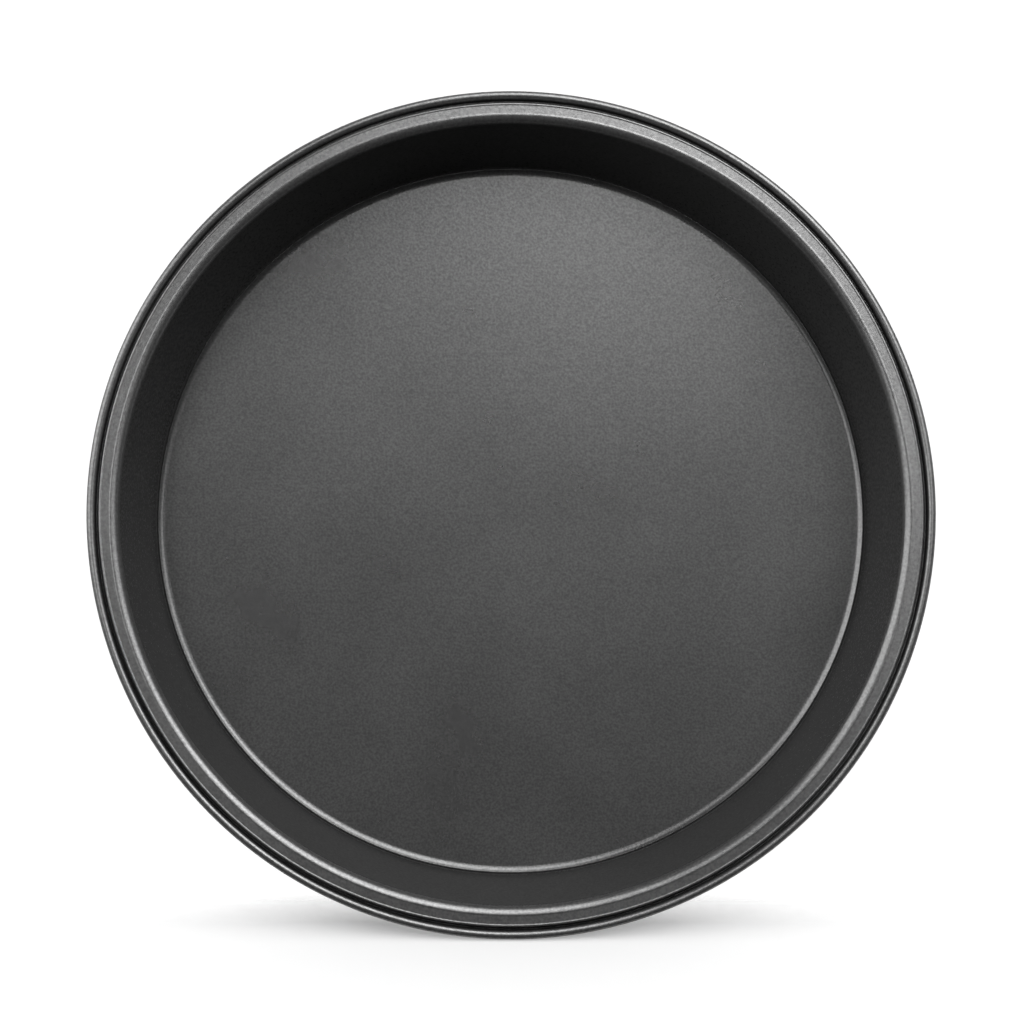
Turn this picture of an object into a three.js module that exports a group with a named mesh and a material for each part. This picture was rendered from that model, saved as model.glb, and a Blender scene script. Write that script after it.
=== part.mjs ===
// Round cake pan: a pressed ring with a rolled rim, a loose base plate that lifts out, and a rim wire.
import * as THREE from "three";

// Driving dimensions, in millimetres and degrees. A bend is given by the radius on its inner side.
const mouthDiameter = 228.6; // inside the top of the wall: a nine-inch pan
const panHeight = 38; // from the foot to the inner edge of the rim's land
const wallTaper = 12.3; // how far the wall leans out from upright
const ringSheet = 0.4; // steel of the ring
const seatWidth = 6; // flat of the lip that carries the base
const footBend = 2.3; // from the lip up into the wall

const baseSheet = 0.5; // steel of the base
const baseCorner = 2.7; // bend of the base's turned-up edge
const baseEdgeTurn = 45; // how far that edge turns up
const baseFit = 0.3; // gap between the base and the ring

const shoulderBend = 2.5; // from the wall out to the rim
const browSlope = 10; // still rising where the crest's tighter bend begins
const crestBend = 1.2;
const crestSlope = 12; // falling on the crest's outer side
const dipBend = 0.6; // from there to the land
const landSlope = 1; // the land falls outwards
const landWidth = 2.15;
const ridgeBend = 0.75; // up into the fine ridge along the land's outer edge
const ridgeSlope = 20;
const foldBend = 0.06; // tight fold from the ridge down into the groove
const grooveSlope = 82;
const grooveSide = 3.1; // from the ridge down
const grooveBend = 0.32; // bottom of the groove
const beadSlope = 88;
const beadSide = 1.66; // from the groove up to the bead
const curlTurn = 288; // how far the bead is rolled round

const wireDiameter = 1.4;
const wireFit = 0.15; // gap between the wire and the bead

const roundSteps = 72; // facets round the pan
const chordError = 0.04; // how far a facet may stand off a true bend

const radians = THREE.MathUtils.degToRad;
const origin = new THREE.Vector2();

const run = (length) => ({ length });
const bend = (angle, inside) => ({ angle, inside });

// The section of a pressed sheet, walked along its middle in straight runs and round bends. The walk sets
// out away from the pan's axis, and a bend to the left is positive. Returns the outline and the centre of
// each bend.
function sheetSection(start, sheet, steps) {
  const left = [];
  const right = [];
  const centres = [];
  const place = start.clone();
  let heading = 0;
  const turned = (x, y) => new THREE.Vector2(x, y).rotateAround(origin, heading);
  const markSides = () => {
    const across = turned(0, sheet / 2);
    left.unshift(place.clone().add(across));
    right.push(place.clone().sub(across));
  };

  markSides();
  for (const { length, angle, inside } of steps) {
    if (length) {
      place.add(turned(length, 0));
      markSides();
    } else {
      const centre = place.clone().add(turned(0, Math.sign(angle) * (inside + sheet / 2)));
      const widestTurn = 2 * Math.acos(1 - chordError / (inside + sheet));
      const chords = Math.ceil(Math.abs(angle) / widestTurn);
      for (let chord = 0; chord < chords; chord++) {
        place.rotateAround(centre, angle / chords);
        heading += angle / chords;
        markSides();
      }
      centres.push(centre);
    }
  }
  return { outline: [...right, ...left], centres };
}

// The ring's section runs from the lip's inner edge up the wall, over the rim and round the bead.
function ringSection() {
  const middle = (inside) => inside + ringSheet / 2;
  const wallTurn = radians(90 - wallTaper);
  const [brow, crest, land, ridge] = [browSlope, crestSlope, landSlope, ridgeSlope].map(radians);
  const [groove, bead] = [grooveSlope, beadSlope].map(radians);

  const footRise = middle(footBend) * (1 - Math.cos(wallTurn));
  const shoulderRise = middle(shoulderBend) * (Math.cos(brow) - Math.cos(wallTurn));
  const crestRise = middle(crestBend) * (Math.cos(crest) - Math.cos(brow));
  const dipFall = middle(dipBend) * (Math.cos(land) - Math.cos(crest));
  const wallRise = panHeight - ringSheet - footRise - shoulderRise - crestRise + dipFall;
  const wallRun = wallRise / Math.sin(wallTurn);
  const wallTop = mouthDiameter / 2 + (ringSheet / 2) * Math.sin(wallTurn);
  const wallFoot = wallTop - wallRun * Math.cos(wallTurn);
  const lipEdge = wallFoot - middle(footBend) * Math.sin(wallTurn) - seatWidth;

  return sheetSection(new THREE.Vector2(lipEdge, ringSheet / 2), ringSheet, [
    run(seatWidth),
    bend(wallTurn, footBend),
    run(wallRun),
    bend(brow - wallTurn, shoulderBend),
    bend(-brow - crest, crestBend),
    bend(crest - land, dipBend),
    run(landWidth),
    bend(land + ridge, ridgeBend),
    bend(-ridge - groove, foldBend),
    run(grooveSide),
    bend(groove + bead, grooveBend),
    run(beadSide),
    bend(-radians(curlTurn), wireDiameter / 2 + wireFit),
  ]);
}

// The base's section runs from the pan's axis out to its cut edge, which stops short of the ring's foot bend
// by the fit.
function baseSection(footCentre) {
  const edgeTurn = radians(baseEdgeTurn);
  const outside = baseCorner + baseSheet;
  const edgeHeight = ringSheet + baseFit + outside * (1 - Math.cos(edgeTurn));
  const reach = Math.sqrt((footBend - baseFit) ** 2 - (footCentre.y - edgeHeight) ** 2);
  return sheetSection(new THREE.Vector2(0, baseSheet / 2), baseSheet, [
    run(footCentre.x + reach - outside * Math.sin(edgeTurn)),
    bend(edgeTurn, baseCorner),
  ]);
}

// The wire's section is a circle.
function wireSection(ringRadius) {
  const radius = wireDiameter / 2;
  const chords = Math.ceil(Math.PI / Math.acos(1 - chordError / radius));
  return new THREE.EllipseCurve(ringRadius, 0, radius, radius).getPoints(chords);
}

function revolved(name, outline, material) {
  const mesh = new THREE.Mesh(new THREE.LatheGeometry(outline, roundSteps), material);
  mesh.name = name;
  return mesh;
}

const coatedRing = new THREE.MeshStandardMaterial({ color: 0x6e6e6e, roughness: 0.3, metalness: 0.8 });
const coatedBase = new THREE.MeshStandardMaterial({ color: 0x626262, roughness: 0.28, metalness: 0.8 });
const brightWire = new THREE.MeshStandardMaterial({ color: 0xb4b4b0, roughness: 0.35, metalness: 1 });

const ring = ringSection();
const footCentre = ring.centres[0];
const beadCentre = ring.centres.at(-1);

const panRing = revolved("pan_ring", [...ring.outline, ring.outline[0]], coatedRing);

const basePlate = revolved("base_plate", baseSection(footCentre).outline, coatedBase);
basePlate.position.y = ringSheet + baseFit; // on the seat lip

const rimWire = revolved("rim_wire", wireSection(beadCentre.x), brightWire);
rimWire.position.y = beadCentre.y; // inside the bead

// The pieces are turned about the Y axis, and the group stands that axis upright along Z.
const pan = new THREE.Group();
pan.name = "round_cake_pan";
pan.rotation.x = Math.PI / 2;
pan.add(panRing, basePlate, rimWire);

export default pan;
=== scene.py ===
import math

import bpy
import numpy as np
from mathutils import Matrix, Vector


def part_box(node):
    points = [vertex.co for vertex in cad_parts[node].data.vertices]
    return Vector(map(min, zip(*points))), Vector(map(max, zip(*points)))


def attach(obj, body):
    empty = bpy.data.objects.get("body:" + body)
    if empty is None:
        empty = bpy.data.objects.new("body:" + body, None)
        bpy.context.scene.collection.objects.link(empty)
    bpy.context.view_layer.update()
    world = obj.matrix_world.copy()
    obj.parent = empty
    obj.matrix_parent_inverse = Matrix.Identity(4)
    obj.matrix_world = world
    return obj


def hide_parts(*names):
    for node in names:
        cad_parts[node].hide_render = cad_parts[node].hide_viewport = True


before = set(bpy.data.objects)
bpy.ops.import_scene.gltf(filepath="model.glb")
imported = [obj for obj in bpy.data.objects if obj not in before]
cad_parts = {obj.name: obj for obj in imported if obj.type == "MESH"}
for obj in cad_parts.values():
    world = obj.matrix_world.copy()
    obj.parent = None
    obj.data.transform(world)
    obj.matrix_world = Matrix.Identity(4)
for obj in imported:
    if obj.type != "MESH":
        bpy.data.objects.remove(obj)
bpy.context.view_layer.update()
print("frame loaded:", ", ".join(sorted(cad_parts)))

scene = bpy.context.scene
scene.view_settings.view_transform = "Standard"


# A pressed sheet's section is a walk along the middle of the sheet, in (radius, height).
# A run is a straight length, and a bend is an angle, positive to the left, with its inner radius.
def run(length, parts=1):
    return dict(length=length, parts=parts)


def bend(angle, inside):
    return dict(angle=angle, inside=inside)


# Each chord of a bend makes at most this turn, and the short support chord at each end of a run keeps the
# bends' shading off the flat.
chordLook = dict(turn=math.radians(8), fewest=3, support=0.0001)


# Chords of one step: their lengths, their slants from the step's first heading, and the turn made at the end
# of each. A bend's chord is twice its middle radius times the sine of half the chord's turn.
def stepChords(step, sheet):
    if "length" in step:
        support = chordLook["support"]
        inner = np.linspace(support, step["length"] - support, step["parts"] + 1)
        lengths = np.diff(np.concatenate([[0], inner, [step["length"]]]))
        still = np.zeros(len(lengths))
        return lengths, still, still
    count = max(chordLook["fewest"], math.ceil(abs(step["angle"]) / chordLook["turn"]))
    turn = step["angle"] / count
    chord = 2 * (step["inside"] + sheet / 2) * math.sin(abs(turn) / 2)
    order = np.arange(count)
    return np.full(count, chord), (order + 0.5) * turn, (order + 1) * turn


# Walks the steps: each point is the start plus the chords before it, and the two faces lie half a sheet to
# its right and to its left.
def sheetFaces(start, sheet, steps):
    chords, slants, headings = [], [], [np.zeros(1)]
    heading = 0.0
    for step in steps:
        length, slant, turned = stepChords(step, sheet)
        chords.append(length)
        slants.append(heading + slant)
        headings.append(heading + turned)
        heading += step.get("angle", 0.0)
    chords, slants, headings = map(np.concatenate, (chords, slants, headings))
    moves = chords[:, None] * np.stack([np.cos(slants), np.sin(slants)], 1)
    middle = np.concatenate([[start], start + np.cumsum(moves, 0)])
    across = sheet / 2 * np.stack([-np.sin(headings), np.cos(headings)], 1)
    return middle - across, middle + across, headings


# A cut edge: two quarter rounds, turned to the heading, from the right face over to the left one.
def cutEdge(right, left, heading, rounding, points=5):
    half = np.linalg.norm(left - right) / 2
    quarter = np.linspace(0, math.pi / 2, points)
    along = np.concatenate([np.sin(quarter), np.cos(quarter)]) * rounding
    side = (half - rounding) + rounding * np.cos(quarter)
    aside = np.concatenate([-side, side[::-1]])
    ahead = np.array([math.cos(heading), math.sin(heading)])
    toLeft = np.array([-ahead[1], ahead[0]])
    edge = (right + left) / 2 + along[:, None] * ahead + aside[:, None] * toLeft
    return edge[1:-1]


# Turns a section about the Z axis: point (r, z) at angle t lies at (r cos t, r sin t, z).
# A section that starts and ends on the axis gets one point there at each end, and any other closes on itself.
def turnedPiece(name, section, facets):
    onAxis = section[0, 0] == 0
    rows = section[1:-1] if onAxis else section
    count = len(rows)
    angle = np.arange(facets) * (2 * math.pi / facets)
    points = np.empty((facets, count, 3))
    points[..., 0] = np.cos(angle)[:, None] * rows[:, 0]
    points[..., 1] = np.sin(angle)[:, None] * rows[:, 0]
    points[..., 2] = rows[:, 1]

    here = np.arange(facets)[:, None] * count
    there = np.roll(np.arange(facets), -1)[:, None] * count
    low = np.arange(count - 1 if onAxis else count)[None, :]
    high = (low + 1) % count
    quads = np.stack([here + low, there + low, there + high, here + high], -1).reshape(-1, 4)
    places, faces = points.reshape(-1, 3), quads.tolist()
    if onAxis:
        first, last = len(places), len(places) + 1
        ends = [(0, 0, section[0, 1]), (0, 0, section[-1, 1])]
        places = np.concatenate([places, ends])
        here, there = here[:, 0], there[:, 0]
        faces += np.stack([np.full(facets, first), there, here], 1).tolist()
        faces += np.stack([np.full(facets, last), here + count - 1, there + count - 1], 1).tolist()

    mesh = bpy.data.meshes.new(name)
    mesh.from_pydata(places.tolist(), [], faces)
    mesh.shade_smooth()
    mesh.update()
    piece = bpy.data.objects.new(name, mesh)
    scene.collection.objects.link(piece)
    print(name, "made with", len(mesh.polygons), "faces")
    return piece


# The ring: seat lip, foot bend, leaning wall, shoulder, flat land, fine ridge, groove and rolled bead.
panRing = dict(
    mouthDiameter=0.2286,
    height=0.038,
    taper=math.radians(12.3),
    sheet=0.0004,
    seatWidth=0.006,
    footBend=0.0023,
    shoulderBend=0.0025,
    browSlope=math.radians(10),
    crestBend=0.0012,
    crestSlope=math.radians(12),
    dipBend=0.0006,
    landSlope=math.radians(1),
    landWidth=0.00215,
    ridgeBend=0.00075,
    ridgeSlope=math.radians(20),
    foldBend=0.00006,
    grooveSlope=math.radians(82),
    grooveSide=0.0031,
    grooveBend=0.00032,
    beadSlope=math.radians(88),
    beadSide=0.00166,
    beadBend=0.00085,
    curlTurn=math.radians(288),
    edgeRounding=0.0001,
    seatParts=3,
    wallParts=6,
    landParts=2,
    facets=360,
)


# The wall rises by what the bends leave of the height, and its run is that rise over the sine of its turn.
def ringSection(size):
    sheet, trim = size["sheet"], size["edgeRounding"]
    bends = ("foot", "shoulder", "crest", "dip", "bead")  # their radii along the sheet's middle follow
    foot, shoulder, crestRound, dip, curl = (size[name + "Bend"] + sheet / 2 for name in bends)
    slopes = ("brow", "crest", "land", "ridge", "groove", "bead")
    brow, crest, land, ridge, groove, bead = (size[name + "Slope"] for name in slopes)
    wallTurn = math.pi / 2 - size["taper"]

    rise = foot * (1 - math.cos(wallTurn))
    rise += shoulder * (math.cos(brow) - math.cos(wallTurn))
    rise += crestRound * (math.cos(crest) - math.cos(brow))
    rise -= dip * (math.cos(land) - math.cos(crest))
    wallRun = (size["height"] - sheet - rise) / math.sin(wallTurn)
    wallTop = size["mouthDiameter"] / 2 + sheet / 2 * math.sin(wallTurn)
    wallFoot = wallTop - wallRun * math.cos(wallTurn)
    lipEdge = wallFoot - foot * math.sin(wallTurn) - size["seatWidth"]

    steps = [
        run(size["seatWidth"] - trim, size["seatParts"]),
        bend(wallTurn, size["footBend"]),
        run(wallRun, size["wallParts"]),
        bend(brow - wallTurn, size["shoulderBend"]),
        bend(-brow - crest, size["crestBend"]),
        bend(crest - land, size["dipBend"]),
        run(size["landWidth"], size["landParts"]),
        bend(land + ridge, size["ridgeBend"]),
        bend(-ridge - groove, size["foldBend"]),
        run(size["grooveSide"]),
        bend(groove + bead, size["grooveBend"]),
        run(size["beadSide"]),
        bend(-size["curlTurn"] + trim / curl, size["beadBend"]),
    ]
    start = np.array([lipEdge + trim, sheet / 2])
    right, left, heading = sheetFaces(start, sheet, steps)
    outerEdge = cutEdge(right[-1], left[-1], heading[-1], trim)
    lipRound = cutEdge(left[0], right[0], heading[0] + math.pi, trim)
    return np.concatenate([right, outerEdge, left[::-1], lipRound])


# The base: a flat disc with its edge turned up, lying on the seat lip.
basePlate = dict(
    sheet=0.0005,
    corner=0.0027,
    edgeTurn=math.radians(45),
    edgeRounding=0.00012,
    flatParts=16,
    facets=360,
)


# Its CAD node's box gives its reach and the height that it lies at. The flat is that reach less the outer
# face's bend, which is its radius times the sine of the edge's turn.
def baseSection(size):
    sheet, corner, trim = size["sheet"], size["corner"], size["edgeRounding"]
    low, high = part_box("base_plate")
    steps = [
        run(high.x - (corner + sheet) * math.sin(size["edgeTurn"]), size["flatParts"]),
        bend(size["edgeTurn"] - trim / (corner + sheet / 2), corner),
    ]
    right, left, heading = sheetFaces(np.array([0, low.z + sheet / 2]), sheet, steps)
    edge = cutEdge(right[-1], left[-1], heading[-1], trim)
    return np.concatenate([right, edge, left[::-1]])


# The wire inside the bead.
rimWire = dict(diameter=0.0014, corners=20, facets=360)


# A circle round the middle of its CAD node's section.
def wireSection(size):
    low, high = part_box("rim_wire")
    radius = size["diameter"] / 2
    centre = np.array([high.x - radius, (low.z + high.z) / 2])
    angle = np.arange(size["corners"]) * (2 * math.pi / size["corners"])
    return centre + radius * np.stack([np.cos(angle), np.sin(angle)], 1)


ringProfile = ringSection(panRing)
ring = turnedPiece("pan_ring_pressed", ringProfile, panRing["facets"])
base = turnedPiece("base_plate_pressed", baseSection(basePlate), basePlate["facets"])
wire = turnedPiece("rim_wire_drawn", wireSection(rimWire), rimWire["facets"])


# Material nodes
def newMaterial(name):
    material = bpy.data.materials.new(name)
    material.use_nodes = True
    nodes, links = material.node_tree.nodes, material.node_tree.links
    return material, nodes["Principled BSDF"], nodes, links


def noise(nodes, links, scale, detail, roughness=0.5):
    node = nodes.new("ShaderNodeTexNoise")
    node.inputs["Scale"].default_value = scale
    node.inputs["Detail"].default_value = detail
    node.inputs["Roughness"].default_value = roughness
    links.new(nodes.new("ShaderNodeTexCoord").outputs["Object"], node.inputs["Vector"])
    return node.outputs["Fac"]


# Takes one range of values to another. Most of a noise's values lie in the range given here.
def remap(nodes, links, value, low, high, fromLow=0.3, fromHigh=0.7):
    node = nodes.new("ShaderNodeMapRange")
    node.inputs["From Min"].default_value = fromLow
    node.inputs["From Max"].default_value = fromHigh
    node.inputs["To Min"].default_value = low
    node.inputs["To Max"].default_value = high
    links.new(value, node.inputs["Value"])
    return node.outputs["Result"]


# A noise taken to a middle value, give or take a spread.
def vary(nodes, links, value, middle, spread):
    return remap(nodes, links, value, middle - spread, middle + spread)


def feed(links, sockets, values):
    for socket, value in zip(sockets, values):
        if isinstance(value, (int, float)):
            socket.default_value = value
        else:
            links.new(value, socket)


def combine(nodes, links, operation, first, second):
    node = nodes.new("ShaderNodeMath")
    node.operation = operation
    feed(links, node.inputs, (first, second))
    return node.outputs[0]


def blend(nodes, links, factor, first, second):
    node = nodes.new("ShaderNodeMix")
    feed(links, node.inputs[:1] + node.inputs[2:4], (factor, first, second))
    return node.outputs["Result"]


def colourGrey(nodes, links, shader, tone):
    colour = nodes.new("ShaderNodeCombineColor")
    for channel in colour.inputs[:3]:
        links.new(tone, channel)
    links.new(colour.outputs["Color"], shader.inputs["Base Color"])


# Non-stick coating: sprayed grains a few tenths of a millimetre wide, over slow clouds of tone.
sprayed = dict(
    metallic=0.81,
    roughnessSpread=0.02,
    grainDetail=2.0,
    grainHeight=0.00002,
    cloudDetail=6.0,
    cloudRoughness=0.62,
)
ringCoating = dict(
    sprayed,
    grey=0.139,
    toneSpread=0.22,
    grazing=0.11,  # tint of what it mirrors at a low angle
    roughness=0.30,
    grainScale=1300,
    cloudScale=22,
    cloudSpread=0.03,
)
baseCoating = dict(
    sprayed,
    grey=0.122,
    toneSpread=0.21,
    grazing=0.15,
    roughness=0.285,
    grainScale=1450,
    cloudScale=18,
    cloudSpread=0.05,
)


def coating(name, look):
    material, shader, nodes, links = newMaterial(name)
    grain = noise(nodes, links, look["grainScale"], look["grainDetail"])
    cloud = noise(nodes, links, look["cloudScale"], look["cloudDetail"], look["cloudRoughness"])

    grainTone = vary(nodes, links, grain, 1, look["toneSpread"])
    cloudTone = vary(nodes, links, cloud, 1, look["cloudSpread"])
    tone = combine(nodes, links, "MULTIPLY", grainTone, cloudTone)
    colourGrey(nodes, links, shader, combine(nodes, links, "MULTIPLY", tone, look["grey"]))
    roughness = vary(nodes, links, cloud, look["roughness"], look["roughnessSpread"])
    links.new(roughness, shader.inputs["Roughness"])

    bump = nodes.new("ShaderNodeBump")
    bump.inputs["Strength"].default_value = 1.0
    bump.inputs["Distance"].default_value = look["grainHeight"]
    links.new(grain, bump.inputs["Height"])
    links.new(bump.outputs["Normal"], shader.inputs["Normal"])
    shader.inputs["Metallic"].default_value = look["metallic"]
    shader.inputs["Specular Tint"].default_value = (look["grazing"],) * 3 + (1,)
    return material


# Drawn steel: bright metal with fine die marks.
wireSteel = dict(low=0.40, high=0.55, roughness=0.3, roughnessSpread=0.08, markScale=900, markDetail=4.0)


def drawnSteel(name, look):
    material, shader, nodes, links = newMaterial(name)
    marks = noise(nodes, links, look["markScale"], look["markDetail"])
    colourGrey(nodes, links, shader, remap(nodes, links, marks, look["low"], look["high"]))
    roughness = vary(nodes, links, marks, look["roughness"], look["roughnessSpread"])
    links.new(roughness, shader.inputs["Roughness"])
    shader.inputs["Metallic"].default_value = 1.0
    return material


ring.data.materials.append(coating("ringCoating", ringCoating))
base.data.materials.append(coating("baseCoating", baseCoating))
wire.data.materials.append(drawnSteel("wireSteel", wireSteel))
print("coatings and steel done")

for piece, body, node, slot in (
    (ring, "ring", "pan_ring", "ring_coating"),
    (base, "base", "base_plate", "base_coating"),
    (wire, "ring", "rim_wire", "wire_steel"),
):
    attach(piece, body)
    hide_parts(node)
print("pieces ride on their bodies")


# White paper: a plain sheet that only lamps light.
paperLook = dict(white=0.9, roughness=0.9, gloss=0.0)


def paperSheet(name, corners, look):
    mesh = bpy.data.meshes.new(name)
    mesh.from_pydata(np.array(corners).tolist(), [], [(0, 1, 2, 3)])
    sheet = bpy.data.objects.new(name, mesh)
    scene.collection.objects.link(sheet)
    material, shader, nodes, links = newMaterial(name + "Paper")
    shader.inputs["Base Color"].default_value = (look["white"],) * 3 + (1,)
    shader.inputs["Roughness"].default_value = look["roughness"]
    shader.inputs["Specular IOR Level"].default_value = look["gloss"]
    mesh.materials.append(material)
    return sheet, shader, nodes, links


floorLook = dict(halfWidth=40.0)


def whiteFloor(look):
    reach = look["halfWidth"]
    corners = [(-reach, -reach, 0), (reach, -reach, 0), (reach, reach, 0), (-reach, reach, 0)]
    return paperSheet("floor", corners, paperLook)[0]


# A white backdrop leans back from the floor behind the -Y side, against bead and foot, and takes the pan's
# soft shadow. It shows from above alone, so that a view from behind it still sees the pan, and it fades into
# the floor at its lower end. The pan doesn't mirror it. Its top, its foot and its fade are places and lengths
# down along it, from its point nearest to the origin.
backdropLook = dict(lean=math.radians(26.1), halfWidth=40.0, top=-40.0, foot=-0.059, fade=0.018)


# It stands as far from the origin, against its normal, as the ring's section reaches that way.
def whiteBackdrop(look):
    lean = look["lean"]
    reach = (ringProfile @ (math.cos(lean), -math.sin(lean))).max()
    nearest = -reach * np.array([0, math.cos(lean), math.sin(lean)])
    downwards = np.array([0, math.sin(lean), -math.cos(lean)])
    ends = ((-1, "top"), (1, "top"), (1, "foot"), (-1, "foot"))
    corners = [nearest + look[end] * downwards + (side * look["halfWidth"], 0, 0) for side, end in ends]
    sheet, shader, nodes, links = paperSheet("backdrop", corners, paperLook)
    sheet.visible_shadow = False
    sheet.visible_diffuse = False
    sheet.visible_glossy = False

    along = nodes.new("ShaderNodeVectorMath")
    along.operation = "DOT_PRODUCT"
    along.inputs[1].default_value = downwards
    links.new(nodes.new("ShaderNodeTexCoord").outputs["Object"], along.inputs[0])
    fadeFrom = look["foot"] - look["fade"]
    faded = remap(nodes, links, along.outputs["Value"], 1.0, 0.0, fadeFrom, look["foot"])
    below = nodes.new("ShaderNodeNewGeometry").outputs["Backfacing"]
    above = combine(nodes, links, "SUBTRACT", 1.0, below)
    links.new(combine(nodes, links, "MULTIPLY", faded, above), shader.inputs["Alpha"])
    return sheet


floor = whiteFloor(floorLook)
backdrop = whiteBackdrop(backdropLook)


# Collections that the lamps light: a softbox lights the pan or its ring alone, and a sun one sheet of paper.
def litCollection(name, members):
    collection = bpy.data.collections.new(name)
    for member in members:
        collection.objects.link(member)
    return collection


panLit = litCollection("panLit", [ring, base, wire])
ringLit = litCollection("ringLit", [ring])
floorLit = litCollection("floorLit", [floor])
backdropLit = litCollection("backdropLit", [backdrop])


# The room: white behind the pan. The metal sees it white at the horizon, darker straight towards -Y and dark
# overhead, and its light is dim. The last four values are how far up, or how far along Y, a direction points.
roomLook = dict(
    dim=0.03,
    overhead=0.03,
    front=0.05,
    whiteTo=0.0,
    darkFrom=0.12,
    frontFrom=-0.45,
    frontTo=-0.9,
)


def room(look):
    world = bpy.data.worlds.new("room")
    world.use_nodes = True
    scene.world = world
    nodes, links = world.node_tree.nodes, world.node_tree.links
    split = nodes.new("ShaderNodeSeparateXYZ")
    links.new(nodes.new("ShaderNodeTexCoord").outputs["Generated"], split.inputs["Vector"])
    up, ahead = split.outputs["Z"], split.outputs["Y"]
    path = nodes.new("ShaderNodeLightPath").outputs
    upwards = remap(nodes, links, up, 1.0, look["overhead"], look["whiteTo"], look["darkFrom"])
    forwards = remap(nodes, links, ahead, look["front"], 1.0, look["frontTo"], look["frontFrom"])
    mirrored = combine(nodes, links, "MULTIPLY", upwards, forwards)
    around = blend(nodes, links, path["Is Glossy Ray"], look["dim"], mirrored)
    straight = combine(nodes, links, "MAXIMUM", path["Is Camera Ray"], path["Is Transmission Ray"])
    background = nodes["Background"]
    background.inputs["Color"].default_value = (1, 1, 1, 1)
    links.new(blend(nodes, links, straight, around, 1.0), background.inputs["Strength"])


room(roomLook)


# Softboxes round the mouth: tilt is measured from straight above, and bearing from +X towards +Y, in degrees.
# Each one's tall and wide angles are those that the pan sees it under. The last two are for the rim.
boxAway = 1.5
softboxes = [
    dict(name="topBox", lit=panLit, tilt=47, bearing=70, tall=35, wide=48, radiance=4.9),
    dict(name="leftBox", lit=panLit, tilt=53.5, bearing=160, tall=70, wide=38, radiance=3.4),
    dict(name="rightBox", lit=panLit, tilt=45, bearing=30, tall=39, wide=32, radiance=2.8),
    dict(name="slimBox", lit=panLit, tilt=22.5, bearing=75, tall=25, wide=10, radiance=5.4),
    dict(name="rimBox", lit=ringLit, tilt=18.5, bearing=35, tall=16, wide=16, radiance=2.5),
    dict(name="crestBox", lit=ringLit, tilt=29, bearing=65, tall=10, wide=42, radiance=3.4),
]


def softbox(look):
    tilt, bearing = math.radians(look["tilt"]), math.radians(look["bearing"])
    side = Vector((math.cos(bearing), math.sin(bearing), 0)) * math.sin(tilt)
    direction = side + Vector((0, 0, math.cos(tilt)))
    wide, tall = (2 * boxAway * math.tan(math.radians(look[k]) / 2) for k in ("wide", "tall"))
    lamp = bpy.data.lights.new(look["name"], "AREA")
    lamp.shape = "RECTANGLE"
    lamp.size, lamp.size_y = wide, tall
    lamp.energy = math.pi * wide * tall * look["radiance"]
    box = bpy.data.objects.new(look["name"], lamp)
    box.location = direction * boxAway
    box.rotation_mode = "QUATERNION"
    box.rotation_quaternion = (-direction).to_track_quat("-Z", "Y")
    box.visible_camera = False
    scene.collection.objects.link(box)
    box.light_linking.receiver_collection = look["lit"]


for look in softboxes:
    softbox(look)

# Suns: three straight above the floor and two that face the backdrop, wide ones for soft shadows, and fill
# ones that light the shadows. A sun stands its tilt from straight above towards +Y, and its turn from there
# towards +X. Only the pan stops its light.
facing = 90 - math.degrees(backdropLook["lean"])  # tilt of a sun that faces the backdrop
suns = [
    dict(name="floorSun", lit=floorLit, tilt=0, turn=0, strength=1.5, angle=10, shadow=True),
    dict(name="floorWide", lit=floorLit, tilt=0, turn=0, strength=1.3, angle=80, shadow=True),
    dict(name="floorFill", lit=floorLit, tilt=0, turn=0, strength=1.2, angle=1, shadow=False),
    dict(name="backdropWide", lit=backdropLit, tilt=facing, turn=8, strength=2.55, angle=110, shadow=True),
    dict(name="backdropFill", lit=backdropLit, tilt=facing, turn=0, strength=1.0, angle=1, shadow=False),
]


def sun(look):
    lamp = bpy.data.lights.new(look["name"], "SUN")
    lamp.energy = look["strength"]
    lamp.angle = math.radians(look["angle"])
    lamp.use_shadow = look["shadow"]
    lampObject = bpy.data.objects.new(look["name"], lamp)
    lampObject.rotation_euler = (-math.radians(look["tilt"]), 0, -math.radians(look["turn"]))
    scene.collection.objects.link(lampObject)
    lampObject.light_linking.receiver_collection = look["lit"]
    lampObject.light_linking.blocker_collection = panLit


for look in suns:
    sun(look)
print("floor, backdrop, room and lamps done")


# Camera: nearly straight into the mouth, from a little towards -Y.
cameraLook = dict(
    distance=1.05,
    tilt=math.radians(3.15),
    aside=math.radians(-0.35),
    lens=126.63,
    sensor=36.0,
    aim=(0.00015, 0.00006, 0.038),
    clipStart=0.05,
    clipEnd=60,
)


def camera(look):
    data = bpy.data.cameras.new("camera")
    data.lens, data.sensor_width = look["lens"], look["sensor"]
    data.clip_start, data.clip_end = look["clipStart"], look["clipEnd"]
    eye = bpy.data.objects.new("camera", data)
    across, down = math.sin(look["aside"]), -math.sin(look["tilt"])
    back = Vector((across, down, math.sqrt(1 - across * across - down * down)))
    eye.location = Vector(look["aim"]) + back * look["distance"]
    eye.rotation_mode = "QUATERNION"
    right = Vector((0, 1, 0)).cross(back).normalized()
    eye.rotation_quaternion = Matrix((right, back.cross(right), back)).transposed().to_quaternion()
    scene.collection.objects.link(eye)
    scene.camera = eye


camera(cameraLook)
